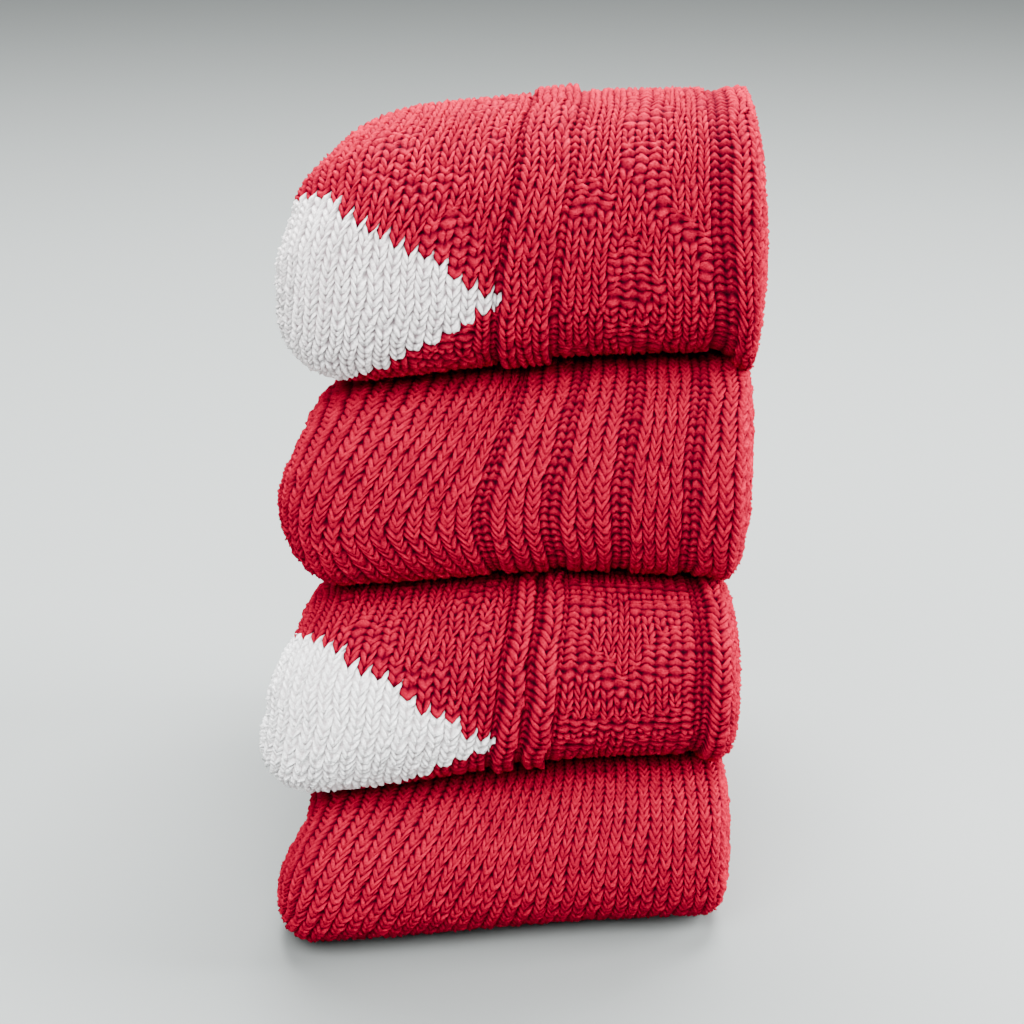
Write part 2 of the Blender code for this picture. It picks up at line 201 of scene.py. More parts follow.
# Lean of the wales at a share of the face, as a part of a fold's own lean
UPPER_HEEL_LEAN = (
    (0.0, 0.0), (0.1, 0.7), (0.2, 0.9), (0.43, 0.5),
    (0.55, 0.4), (0.7, 0.1), (0.82, -0.6), (1.0, 0.0),
)
UPPER_LEG_LEAN = (
    (0.0, 0.0), (0.1, 0.6), (0.22, 1.0), (0.34, 0.9),
    (0.44, 0.42), (0.55, 0.38), (0.68, 0.13), (1.0, 0.0),
)
LOWER_HEEL_LEAN = (
    (0.0, 0.0), (0.1, 0.6), (0.3, 0.7), (0.55, 0.35),
    (0.7, 0.1), (0.85, 0.0), (1.0, 0.0),
)
LOWER_LEG_LEAN = (
    (0.0, 0.0), (0.1, 0.7), (0.25, 1.0), (0.4, 0.95),
    (0.55, 0.5), (0.7, 0.15), (1.0, 0.0),
)

# A sock's tables: each layer's thickness at the front and the back, from the top; each fold's reach and
# squareness; its edges and layouts; the heel's place, and its courses for each wale above and below it; its
# panel and where that starts; and each leaning fold's start, lean, level where wales turn back, and shares
SOCKS = {
    "upper": {
        "layers": ((30.0, 22.5), (24.5, 20.0), (22.6, 20.0), (22.2, 19.8)),
        "folds": ((27.0, 2.35), (TURN_REACH, 2.4), (24.0, 2.25)),
        "edges": UPPER_EDGES,
        "foot": UPPER_FOOT,
        "leg": UPPER_LEG,
        "heel": (1.56, 1.13, 1.25),
        "chart": (UPPER_CHART, 1.225),
        "leans": ((1.0, 0.17, 0.15, UPPER_HEEL_LEAN), (5.0, 0.52, 0.38, UPPER_LEG_LEAN)),
    },
    "lower": {
        "layers": ((20.6, 18.4), (20.4, 18.0), (18.4, 16.4), (18.0, 16.4)),
        "folds": ((25.5, 2.35), (TURN_REACH, 2.4), (23.6, 2.35)),
        "edges": LOWER_EDGES,
        "foot": LOWER_FOOT,
        "leg": LOWER_LEG,
        "heel": (1.605, 1.23, 1.15),
        "chart": (LOWER_CHART, 1.14),
        "leans": ((1.0, 0.15, 0.15, LOWER_HEEL_LEAN), (5.0, 0.42, 0.0, LOWER_LEG_LEAN)),
    },
}

# One row a stretch of a sock: name, place where it starts, rows a course, steps a wale on the face that
# is on the outside at the front folds, on the other face, and round the edges
ROWS_FINE = (0.0, 0.25, 0.5, 0.75)
ROWS_MIDDLE = (0.0, 0.3, 0.7)
ROWS_COARSE = (0.0, 0.5)
EDGE_WALES = 5
LEG_STRETCHES = (
    ("ankle", 2.02, ROWS_COARSE, 1, 1, 3),
    ("back_turn", 2.86, ROWS_MIDDLE, 1, 3, 3),
    ("calf", 4.02, ROWS_COARSE, 1, 1, 3),
    ("leg_fold", 4.94, ROWS_FINE, 6, 1, 4),
    ("leg_end", 6.03, ROWS_COARSE, 1, 1, 3),
    ("cuff", None, ROWS_MIDDLE, 3, 3, 3),
)
STRETCHES = {
    "upper": (
        ("toe", 0.0, ROWS_MIDDLE, 3, 2, 4),
        ("instep", None, ROWS_MIDDLE, 5, 1, 4),
        ("heel_fold", 0.78, ROWS_FINE, 8, 1, 4),
    ) + LEG_STRETCHES,
    "lower": (
        ("toe", 0.0, ROWS_COARSE, 2, 2, 4),
        ("instep", None, ROWS_COARSE, 1, 1, 3),
        ("heel_fold", 0.94, ROWS_FINE, 6, 1, 4),
    ) + LEG_STRETCHES,
}
HEEL_WALES = 16
HEEL_WRAP = 7  # wales of the heel on the hidden face

# Charted stitches: depth of each kind of wale, how far it stands out, and how deep a part's wales are
RECESS = {"gutter": 0.65, "groove": 0.6, "purl": 0.3, "panel": 0.06}
PART_RECESS = {"foot": 1.0, "leg": 0.6}
CUFF_RECESS = 0.8
SWELL = {"plait": 1.0, "ridge": 0.25}
MOSS_WALES = range(3, 15)
MOSS_SEED = 5
MOSS_CHECK = 0.35
MOSS_LEVEL = 0.42

# Height of a knit stitch over half its wale, from its groove to its middle, open and closed to one ridge
OPEN_LEGS = ((0.0, 0.2, 0.5, 0.8, 1.0), (0.0, 0.72, 1.0, 0.78, 0.12))
CLOSED_LEGS = ((0.0, 0.2, 0.45, 0.75, 1.0), (0.0, 0.62, 0.92, 1.0, 0.66))

# Lean: width of a front fold's face, how softly the wales turn back, and how far it fades into a layer
FOLD_WIDTH = 115.0
BEND_SOFTNESS = 0.006
LEAN_FADE = 0.5

# How far chance moves the yarn: along it in courses, across it in wales and outwards in millimetres
SEEDS = {"upper": 11, "lower": 29}
ALONG = {"drift": 0.28, "uneven": 0.16, "leg": 0.22, "fibre": 0.16}
ACROSS = {"sway": 0.16, "leg": 0.07, "fibre": 0.08}
OUTWARDS = {"uneven": 0.14, "leg": 0.22, "fibre": 0.30}
PURL_DROP = 0.4
END_FADE = 5.0
TIP_FADE = 6.0

# The cuff's mouth: steps over its rim, the rim's bulge, and the painted light of rim and inside, the inside
# painted dark as shade
MOUTH_WALE_STEP = 0.25
RIM_STEPS = 7
RIM_BULGE = 2.2
RIM_COURSE = 0.4
RIM_LIGHT = 0.9
INSIDE_LIGHT = 0.3
RIM_TONE = 0.5

# Sampling of the smooth tube: millimetres along the toe, points over a face and over a rounded edge
BASE_STEP = 1.0
SAMPLES = 160
EDGE_SAMPLES = 24
TINY = 1e-9
NEARLY = 1e-6  # lifts a stitch's own line over rounding
ON_LINE = 1e-3  # how near a line between stitches counts as on it

# Wool: fibre clumps half a millimetre across, and streaks by the stitch map, across a wale and a course
FUZZ_SCALE = 1900.0
STREAKS = (1.5, 6.0, 1.0)

# Stage: the floor, and each light's place and size in metres. Its power is the setting of the same name.
FLOOR_RADIUS = 4.0
FLOOR_SIDES = 64
FLOOR_HEIGHT = -0.0006
LIGHT_TARGET = (0.0, 0.0, 0.09)
LIGHTS = {
    "front": ((-0.3, -1.3, 1.15), (1.3, 1.1)),
    "top": ((0.1, 0.35, 1.1), (0.9, 0.7)),
    "rim": ((0.95, -0.05, 0.4), (0.5, 0.8)),
}
AMBIENT = 0.6

# The camera: its distance in metres, its turn and rise in degrees, and the photograph's width, focal length
# and middle in pixels
CAMERA_TARGET = (0.0, -0.06, 0.09)
CAMERA_DISTANCE = 0.64
CAMERA_TURN = -2.0
CAMERA_RISE = 17.0
SENSOR = 36.0
PHOTO_WIDTH = 1024.0
FOCAL_PIXELS = 3000.0
PHOTO_MIDDLE = (509.0, 530.0)


def eased(rows, column, at):
    """Read one column of a table at values of its first column, easing from row to row."""
    table = np.array(rows)
    key = table[:, 0]
    row = np.clip(np.searchsorted(key, at, side="right") - 1, 0, len(key) - 2)
    part = np.clip((at - key[row]) / (key[row + 1] - key[row]), 0.0, 1.0)
    part = part * part * (3.0 - 2.0 * part)
    return table[row, column] * (1.0 - part) + table[row + 1, column] * part


def ramp(value, start, end):
    """Ease from 0 at start to 1 at end."""
    part = np.clip((value - start) / (end - start), 0.0, 1.0)
    return part * part * (3.0 - 2.0 * part)


def stack_base(name):
    """Height of a sock's underside at the front and at the back."""
    if name == "lower":
        return (0.0, 0.0)
    layers = SOCKS["lower"]["layers"]
    gaps = LAYER_GAP * (len(layers) - 1) + SOCK_GAP
    return tuple(sum(row[end] for row in layers) + gaps for end in (0, 1))


def layer_heights(name, along):
    """Top and bottom of each layer, from the top, at shares along from front to back."""
    base = stack_base(name)
    bottom = base[0] + (base[1] - base[0]) * along
    heights = []
    for front, back in reversed(SOCKS[name]["layers"]):
        top = bottom + front + (back - front) * along
        heights.insert(0, (top, bottom))
        bottom = top + LAYER_GAP
    return heights


def layer_faces(name, layer, part):
    """Points (Y, Z) of a flat layer's two faces, the one that looks out at the front folds first."""
    back = {0: TOE_TIP_AT, 3: CUFF_END_AT}.get(layer, BACK_AT)
    forward = layer % 2 == 0
    y = back + (FRONT_AT - back) * part if forward else FRONT_AT + (back - FRONT_AT) * part
    top, bottom = layer_heights(name, (y - FRONT_AT) / (BACK_AT - FRONT_AT))[layer]
    faces = np.stack([np.stack([y, top], axis=-1), np.stack([y, bottom], axis=-1)], axis=1)
    return faces if forward else faces[:, ::-1]


def fold_faces(name, fold, part):
    """Points (Y, Z) of a fold's two faces: the outer is a superellipse, the inner a tight arc."""
    reach, squareness = SOCKS[name]["folds"][fold]
    at_turn = fold == 1
    heights = layer_heights(name, 1.0 if at_turn else 0.0)
    top, slit_top = heights[fold]
    slit_bottom, bottom = heights[fold + 1]
    middle = (slit_top + slit_bottom) / 2.0
    angle = math.pi * (0.5 - part)
    cosine = np.abs(np.cos(angle)) ** (2.0 / squareness)
    sine = np.sign(np.sin(angle)) * np.abs(np.sin(angle)) ** (2.0 / squareness)
    height = np.where(sine > 0.0, top - middle, middle - bottom)
    centre = BACK_AT if at_turn else FRONT_AT
    side = 1.0 if at_turn else -1.0
    slit = LAYER_GAP / 2.0
    outer = np.stack([centre + side * reach * cosine, middle + sine * height], axis=-1)
    inner = np.stack([centre + side * slit * np.cos(angle), middle + slit * np.sin(angle)], axis=-1)
    return np.stack([inner, outer] if at_turn else [outer, inner], axis=1)


def path_faces(name, places):
    """The tube's two faces along its path, as rows of (face, Y and Z)."""
    stage = np.minimum(places.astype(int), STAGES - 1)
    faces = np.zeros((len(places), 2, 2))
    for number in range(STAGES):
        rows = stage == number
        if rows.any():
            shape = fold_faces if number % 2 else layer_faces
            faces[rows] = shape(name, number // 2, places[rows] - number)
    return faces


def toe_shares(distance):
    """Width and thickness of the rounded toe, as shares of the full tube, at distances from its tip."""
    wide = np.sqrt(1.0 - (1.0 - np.minimum(distance / TOE_ROUND, 1.0)) ** 2)
    thick = np.sqrt(1.0 - (1.0 - np.minimum(distance / TOE_FLATTENING, 1.0)) ** 2)
    return wide, thick


def sagged(points):
    """Move points by the stack's own sag.

    The left end hangs lower and swells forward, each by a table of heights times an eased share of the
    width. At the right the folds' lower edges droop onto the cloth beneath.
    """
    x, y, z = points[..., 0], points[..., 1], points[..., 2]
    left = ramp(x, *LEFT_REACH)
    right = ramp(x, *RIGHT_REACH)
    front = 1.0 - ramp(y, *FRONT_FADE)
    moved_y = y + (FRONT_SKEW * x - FRONT_SWELL * left) * front
    moved_z = z - eased(SAG, 1, z) * left - eased(SAG, 2, z) * right
    moved_z = moved_z - eased(DROOP, 1, z) * ramp(x, *DROOP_REACH) * front
    return np.stack([x, moved_y, moved_z], axis=-1)


def read_rows(at, known, values):
    """Read each row's own curve of values at the lengths asked for."""
    return np.array([np.interp(a, k, v) for a, k, v in zip(at, known, values)])


def tube_points(name, places, wide, thick):
    """The smooth tube as rings of points.

    A ring is a flattened tube's section: its two faces run flat between quarter ellipses at the edges,
    and points are spread evenly over the length of each face.
    """
    edges = SOCKS[name]["edges"]
    left, right, left_round, right_round = (eased(edges, column, places) for column in (1, 2, 3, 4))
    centre = (left + right) / 2.0
    left, right = centre + (left - centre) * wide, centre + (right - centre) * wide
    faces = path_faces(name, places)
    middle = faces.mean(axis=1)
    half = np.linalg.norm(faces[:, 0] - faces[:, 1], axis=-1) / 2.0 * thick
    turn = np.linspace(0.0, math.pi / 2.0, EDGE_SAMPLES)
    left_x = left[:, None] + (left_round * wide)[:, None] * (1.0 - np.cos(turn))
    right_x = right[:, None] - (right_round * wide)[:, None] * (1.0 - np.cos(turn))
    x = np.concatenate([left_x, right_x[:, ::-1]], axis=1)
    rise = np.concatenate([np.sin(turn), np.sin(turn)[::-1]])
    step = np.hypot(np.diff(x, axis=1), np.diff(rise)[None, :] * half[:, None])
    length = np.concatenate([np.zeros((len(places), 1)), np.cumsum(step, axis=1)], axis=1)
    share = np.arange(SAMPLES + 1) / SAMPLES
    parts = []
    for face, at in ((0, share), (1, share[-2:0:-1])):
        along = at[None, :] * length[:, -1:]
        rises = read_rows(along, length, np.broadcast_to(rise, length.shape))
        offset = (faces[:, face] - middle)[:, None, :] * (rises * thick[:, None])[..., None]
        flat = middle[:, None, :] + offset
        parts.append(np.concatenate([read_rows(along, length, x)[..., None], flat], axis=-1))
    return sagged(np.concatenate(parts, axis=1))


class Tube:
    """A sock's smooth surface, read at any course and any share of the way round."""

    def __init__(self, name, course_height):
        length = TOE_TIP_AT - FRONT_AT
        toe = np.concatenate([[0.0, 0.15, 0.5], np.arange(1.0, TOE_LENGTH, BASE_STEP)]) / length
        rest = np.arange(TOE_PLACE, PATH_END, PATH_STEP)
        self.places = np.concatenate([toe, rest, [PATH_END]])
        wide, thick = toe_shares(self.places * length)
        self.points = tube_points(name, self.places, wide, thick) - np.array(SHIFT)
        self.taper = wide
        along = np.gradient(self.points, axis=0)
        around = np.roll(self.points, -1, axis=1) - np.roll(self.points, 1, axis=1)
        normal = np.cross(along, around)
        size = np.linalg.norm(normal, axis=-1, keepdims=True)
        at_tip = np.array((0.0, 1.0, 0.0))
        self.normals = np.where(size > TINY, normal / np.maximum(size, TINY), at_tip)
        step = np.linalg.norm(np.diff(self.points, axis=0), axis=-1)
        middle = SAMPLES // 2
        longest = np.maximum(step[:, middle], step[:, -middle])
        self.courses = np.concatenate([[0.0], np.cumsum(longest)]) / course_height

    def course_at(self, place):
        """The nearest whole course to a place on the path."""
        return int(round(float(np.interp(place, self.places, self.courses))))

    def read(self, course, around):
        """Points and outward normals at courses and shares round the tube (0 to 1 and 1 to 2 a face)."""
        row = np.interp(course, self.courses, np.arange(len(self.courses)))
        low = np.minimum(row.astype(int), len(self.courses) - 2)
        part = (row - low)[..., None]
        column = np.mod(around, 2.0) * SAMPLES
        left = np.floor(column).astype(int)
        side = (column - left)[..., None]
        left = left % (2 * SAMPLES)
        right = (left + 1) % (2 * SAMPLES)
        found = []
        for field in (self.points, self.normals):
            near = field[low, left] * (1.0 - side) + field[low, right] * side
            far = field[low + 1, left] * (1.0 - side) + field[low + 1, right] * side
            found.append(near * (1.0 - part) + far * part)
        found[1] /= np.maximum(np.linalg.norm(found[1], axis=-1, keepdims=True), TINY)
        return found


def wandering(rows, columns, coarse, seed):
    """Smooth random numbers between -1 and 1 over a table: a coarse table of them, eased between."""
    random = np.random.default_rng(seed)
    small = random.uniform(-1.0, 1.0, (rows // coarse + 3, columns // coarse + 3))
    row = np.arange(rows) / coarse
    column = np.arange(columns) / coarse
    r, c = row.astype(int), column.astype(int)
    pr, pc = ramp(row - r, 0.0, 1.0)[:, None], ramp(column - c, 0.0, 1.0)[None, :]
    top = small[np.ix_(r, c)] * (1.0 - pc) + small[np.ix_(r, c + 1)] * pc
    low = small[np.ix_(r + 1, c)] * (1.0 - pc) + small[np.ix_(r + 1, c + 1)] * pc
    return top * (1.0 - pr) + low * pr


def wale_bounds(layout):
    """Shares of a face at which its wales begin and end, from a layout's rows."""
    bounds = [0.0]
    for _, count, end in layout:
        start = bounds[-1]
        bounds.extend(start + (end - start) * (number + 1) / count for number in range(count))
    return np.array(bounds)


def wale_kinds(layout):
    """The kind of each wale of a face, from a layout's rows."""
    return [kind for kind, count, _ in layout for _ in range(count)]


def heel_stitches(name, tube, course, wale):
    """Which stitches are heel: a wedge from the sock's edge to its tip, and a stitch and a half beyond."""
    place, above, below = SOCKS[name]["heel"]
    middle = tube.course_at(place)
    off = np.where(wale < FACE_WALES, np.floor(wale), WALES - 1 - np.floor(wale))
    inside = np.where(wale < FACE_WALES, off < HEEL_WALES, off < HEEL_WRAP)
    reach = HEEL_WALES - off
    first, end = np.round(middle - reach * above), np.round(middle + reach * below)
    wedge = inside & (course >= first) & (course < end)
    beyond = np.where(course == middle, 1.0, np.where(course == middle + 1, 0.5, 0.0))
    return wedge | ((wale >= HEEL_WALES) & (wale < HEEL_WALES + beyond))


def charts(name, tube, courses):
    """Purl, recess, swell and ridge of every stitch, as tables of course by wale.

    Purl is 1 where the purl side shows. Recess is how far a purl gutter lies below its neighbours,
    swell how far a plait stands above them, and ridge how far a wale's two legs close to one ridge,
    each from 0 to 1.
    """
    purl, recess, swell, ridge = (np.zeros((courses, WALES)) for _ in range(4))
    course = np.arange(courses)
    place = np.interp(course, tube.courses, tube.places)
    rows_of_chart, start = SOCKS[name]["chart"]
    chart = np.array([[float(stitch == "P") for stitch in row] for row in rows_of_chart])
    chart_row = np.mod(course - tube.course_at(start), len(chart))
    foot = place < LEG_START
    for part, rows in (("foot", foot), ("leg", ~foot)):
        kinds = wale_kinds(SOCKS[name][part])
        first = kinds.index("panel") if "panel" in kinds else 0
        for wale in range(WALES):
            column = wale if wale < FACE_WALES else WALES - 1 - wale
            kind = kinds[column]
            purl[rows, wale] = kind in ("gutter", "groove", "purl")
            recess[rows, wale] = RECESS.get(kind, 0.0) * PART_RECESS[part]
            swell[rows, wale] = SWELL.get(kind, 0.0)
            ridge[rows, wale] = kind == "ridge"
            if kind == "panel":
                purl[rows, wale] = chart[chart_row[rows], column - first]
    wales = np.arange(WALES)[None, :]
    moss = wandering(courses, WALES, 2, MOSS_SEED) + MOSS_CHECK * (-1.0) ** (course[:, None] + wales)
    for wale in MOSS_WALES:
        purl[foot, wale] = moss[foot, wale] > MOSS_LEVEL
    rib = np.ix_(place >= CUFF_PLACE, np.arange(1, WALES, 2))
    purl[rib] = 1.0
    recess[rib] = CUFF_RECESS
    toe = place < TOE_PLACE
    for table in (purl, recess, swell):
        table[toe] = 0.0
    heel = heel_stitches(name, tube, course[:, None], wales)
    purl[heel] = 0.0
    return purl, recess, swell, ridge


def softened(table, courses):
    """A table averaged over a few courses either way, for the slant of the stitches."""
    total = np.zeros_like(table)
    for step in range(-courses, courses + 1):
        rows = np.clip(np.arange(len(table)) + step, 0, len(table) - 1)
        total += table[rows]
    return total / (2 * courses + 1)


def look_up(table, row, wale):
    """Read a table at rows between its courses and at wales, averaging on the lines between stitches."""
    count = len(table)
    whole = np.floor(row + NEARLY).astype(int)
    on_line = (row - whole) < ON_LINE
    column = np.floor(wale + NEARLY).astype(int)
    on_edge = (wale - column) < ON_LINE
    value = 0.0
    for down, down_share in ((0, np.where(on_line, 0.5, 1.0)), (-1, np.where(on_line, 0.5, 0.0))):
        rows = np.clip(whole + down, 0, count - 1)
        for side, side_share in ((0, np.where(on_edge, 0.5, 1.0)), (-1, np.where(on_edge, 0.5, 0.0))):
            value = value + table[rows, (column + side) % table.shape[1]] * down_share * side_share
    return value


def stitch_relief(phase, across, purl, recess, swell, ridged, depth):
    """Height of the yarn above the smooth tube, and its light: a painted shade value, low in the grooves,
    gutters and purl bars, that darkens the wool's colour there.

    A knit stitch is two legs: a ridge along the row's phase times a ridge over each half of the wale.
    A purl stitch is one bar: the same ridge along the phase, almost flat across the wale.
    """
    ridge = 1.0 - np.abs(2.0 * phase - 1.0) ** 2.4
    half = 1.0 - np.abs(2.0 * across - 1.0)
    over = np.interp(half, *OPEN_LEGS) * (1.0 - ridged) + np.interp(half, *CLOSED_LEGS) * ridged
    knit = np.clip(1.0 - 0.6 * (1.0 - ridge) - 0.66 * (1.0 - over), 0.0, 1.0)
    bar = np.clip(0.92 - 0.55 * (1.0 - ridge) - 0.42 * np.abs(2.0 * across - 1.0) ** 1.9, 0.0, 1.0)
    cover = knit * (1.0 - purl) + bar * purl
    height = depth["stitch"] * (cover - 1.0) - depth["recess"] * recess + depth["swell"] * swell
    # Painted shade: less light in the grooves between legs, in recessed gutters and on purl bars, so the
    # colour is painted darker there
    light = cover * (1.0 - 0.4 * recess) * (1.0 - 0.15 * purl)
    return height, light


def leans_along(name, tube):
    """How far each fold carries its wales to the right at each ring of the tube, in shares of a face.

    In a fold it is the lean times the height above the level where the wales turn back, either way,
    and nothing at mid-height. In the layers beside the fold it fades out over half their length.
    """
    z = tube.points[:, SAMPLES // 2, 2]
    found = []
    for start, lean, level, across in SOCKS[name]["leans"]:
        carried = np.zeros(len(tube.places))
        inside = (tube.places >= start) & (tube.places <= start + 1.0)
        low, high = z[inside].min(), z[inside].max()
        height = np.clip((z - low) / (high - low), 0.0, 1.0)
        bend = np.sqrt((height - level) ** 2 + BEND_SOFTNESS)
        at_middle = math.sqrt((0.5 - level) ** 2 + BEND_SOFTNESS)
        carry = lean * (high - low) * (bend - at_middle) / FOLD_WIDTH
        end = start + 1.0
        before = np.interp(start, tube.places, carry)
        after = np.interp(end, tube.places, carry)
        carried[inside] = carry[inside]
        ahead = (tube.places < start) & (tube.places > start - LEAN_FADE)
        behind = (tube.places > end) & (tube.places < end + LEAN_FADE)
        carried[ahead] = before * ramp(tube.places[ahead], start - LEAN_FADE, start)
        carried[behind] = after * (1.0 - ramp(tube.places[behind], end, end + LEAN_FADE))
        found.append((carried, *np.array(across).T))
    return found


class Knitting:
    """One sock's stitches: where every point of its yarn lies."""

    def __init__(self, name, yarn):
        self.name = name
        self.tube = Tube(name, yarn.course / MILLIMETRE)
        self.count = int(self.tube.courses[-1])
        self.purl, self.recess, self.swell, self.ridge = charts(name, self.tube, self.count + 2)
        self.slant = softened(1.0 - self.purl, 1)
        self.leans = leans_along(name, self.tube)
        self.foot = wale_bounds(SOCKS[name]["foot"])
        self.leg = wale_bounds(SOCKS[name]["leg"])
        self.depth = {
            "stitch": yarn.stitch_depth / MILLIMETRE,
            "recess": yarn.gutter_depth / MILLIMETRE,
            "swell": yarn.plait_height / MILLIMETRE,
        }
        self.slope = yarn.slope
        seed = SEEDS[name]
        random = np.random.default_rng(seed)
        self.tone = random.uniform(0.0, 1.0, (self.count + 2, WALES))
        self.uneven = random.uniform(-1.0, 1.0, (self.count + 2, WALES))
        self.leg_uneven = random.uniform(-1.0, 1.0, (self.count + 2, 2 * WALES))
        self.drift = wandering(self.count + 2, WALES, 3, seed + 1)
        self.sway = wandering(self.count + 2, WALES, 2, seed + 2)
        self.toe_seam = self.tube.course_at(TOE_PLACE)
        self.cuff_seam = self.tube.course_at(CUFF_PLACE)

    def around(self, course, wale):
        """Share of the way round the tube for wales at courses: their layout, and the wales' lean."""
        place = np.interp(course, self.tube.courses, self.tube.places)
        change = ramp(place, *PATTERN_CHANGE)
        front = wale <= FACE_WALES
        number = np.where(front, wale, WALES - wale)
        ticks = np.arange(FACE_WALES + 1)
        share = np.interp(number, ticks, self.foot) * (1.0 - change)
        share += np.interp(number, ticks, self.leg) * change
        for carried, key, value in self.leans:
            carry = np.interp(place, self.tube.places, carried)
            share = share + np.where(front, carry * np.interp(share, key, value), 0.0)
        return np.where(front, share, 2.0 - share)

    def yarn_at(self, row, wale):
        """Points of the yarn's surface at rows and wales, with their tone and their light, a painted shade
        value for the colour between the stitches.

        A knit stitch's legs slope: the middle of its wale is drawn towards the cuff by the slope. The
        relief lies along the tube's normal, and chance moves each point along, across and outwards. All
        of it fades at the toe's tip, and most of it at the cuff's rim.
        """
        phase = row - np.floor(row + NEARLY)
        across = wale - np.floor(wale + NEARLY)
        purl = look_up(self.purl, row, wale)
        recess = look_up(self.recess, row, wale)
        swell = look_up(self.swell, row, wale)
        tent = 1.0 - np.abs(2.0 * across - 1.0)
        slant = look_up(self.slant, row, wale)
        uneven = look_up(self.uneven, row, wale)
        drift = look_up(self.drift, row, wale)
        taper = np.interp(row, self.tube.courses, self.tube.taper)
        near_end = ramp(self.count - row, 0.0, END_FADE)
        near_tip = ramp(row, 0.0, TIP_FADE) * (0.25 + 0.75 * near_end)
        slope = self.slope * slant - PURL_DROP * (1.0 - slant)
        course = row + slope * tent * near_tip * near_end
        leg = look_up(self.leg_uneven, row, 2.0 * wale)
        fibre = np.modf(np.abs(np.sin(row * 127.1 + wale * 311.7)) * 43758.5453)[0] - 0.5
        along = ALONG["drift"] * drift + ALONG["uneven"] * uneven + ALONG["leg"] * leg
        course = course + (along + ALONG["fibre"] * fibre) * near_tip
        ridged = look_up(self.ridge, row, wale)
        height, light = stitch_relief(phase, across, purl, recess, swell, ridged, self.depth)
        height = height * np.minimum(1.0, taper * 1.3) * near_tip
        outwards = OUTWARDS["uneven"] * uneven + OUTWARDS["leg"] * leg + OUTWARDS["fibre"] * fibre
        height = height + outwards * light * near_tip
        sway = look_up(self.sway, row, wale)
        sideways = ACROSS["sway"] * sway + ACROSS["leg"] * leg + ACROSS["fibre"] * fibre
        around = self.around(course, wale + sideways * (1.0 - recess))
        points, normals = self.tube.read(np.clip(course, 0.0, self.tube.courses[-1]), around)
        points = points + normals * height[..., None]
        return points, light, look_up(self.tone, row, wale)


def face_steps(steps, edge, edge_steps):
    """Positions of grid columns over one face's wales, with other steps near its two edges."""
    columns = []
    for wale in range(FACE_WALES):
        near_edge = wale < edge or wale >= FACE_WALES - edge
        count = edge_steps if near_edge else steps
        columns.extend(wale + number / count for number in range(count))
    return columns


def grid_rows(start, end, phases):
    """Rows of a stretch between two courses."""
    rows = [course + phase for course in range(start, end) for phase in phases]
    return np.array(rows + [float(end)])


def grid_columns(front, back, edge_steps):
    """Columns of a stretch all the way round the tube."""
    first = face_steps(front, EDGE_WALES if front < edge_steps else 3, edge_steps)
    second = face_steps(back, EDGE_WALES, edge_steps)
    return np.array(first + [FACE_WALES + column for column in second])


def quads_of(rows, columns):
    """Faces of a grid that closes round its second axis, wound so that they look outwards."""
    row = np.arange(rows - 1)[:, None] * columns
    column = np.arange(columns)[None, :]
    after = (column + 1) % columns
    return np.stack([row + column, row + columns + column, row + columns + after, row + after], axis=-1)


def stitch_map(rows, columns):
    """The stitch map at each face's four corners: wales across and courses along, to the tube's seam."""
    after = np.append(columns[1:], WALES)
    ends = ((columns, rows[:-1]), (columns, rows[1:]), (after, rows[1:]), (after, rows[:-1]))
    corners = [np.stack(np.broadcast_arrays(wale[None, :], row[:, None]), axis=-1) for wale, row in ends]
    return np.stack(corners, axis=2)


def knit_mesh(name, points, quads, corners, light, tone):
    """A mesh in metres of some of a grid's faces, with its stitch map and yarn attributes."""
    used, index = np.unique(quads, return_inverse=True)
    index = index.reshape(quads.shape)
    mesh = bpy.data.meshes.new(name)
    mesh.from_pydata(points.reshape(-1, 3)[used] * MILLIMETRE, [], index)
    for key, values in (("light", light), ("tone", tone)):
        layer = mesh.attributes.new(key, "FLOAT", "POINT")
        layer.data.foreach_set("value", values.reshape(-1)[used].astype(np.float32))
    stitches = mesh.uv_layers.new(name="stitches")
    stitches.data.foreach_set("uv", corners.reshape(-1).astype(np.float32))
    mesh.shade_smooth()
    thing = bpy.data.objects.new(name, mesh)
    bpy.context.scene.collection.objects.link(thing)
    return thing


def knit_stretch(knitting, stretch, start, end):
    """One stretch of a sock as meshes: the red, and the heel where the stretch has one."""
    label, _, phases, front, back, edge_steps = stretch
    rows = grid_rows(start, end, phases)
    columns = grid_columns(front, back, edge_steps)
    row, wale = np.meshgrid(rows, columns, indexing="ij")
    points, light, tone = knitting.yarn_at(row, wale)
    quads = quads_of(len(rows), len(columns))
    corners = stitch_map(rows, columns)
    made = []
    heel = np.zeros(quads.shape[:2], dtype=bool)
    if label == "heel_fold":
        course = np.floor(rows[:-1] + NEARLY)[:, None]
        heel = heel_stitches(knitting.name, knitting.tube, course, columns[None, :] + NEARLY)
    for part, chosen in ((label, ~heel), ("heel", heel)):
        if chosen.any():
            name = f"{knitting.name}_{part}_knit"
            made.append(knit_mesh(name, points, quads[chosen], corners[chosen], light, tone))
    return made


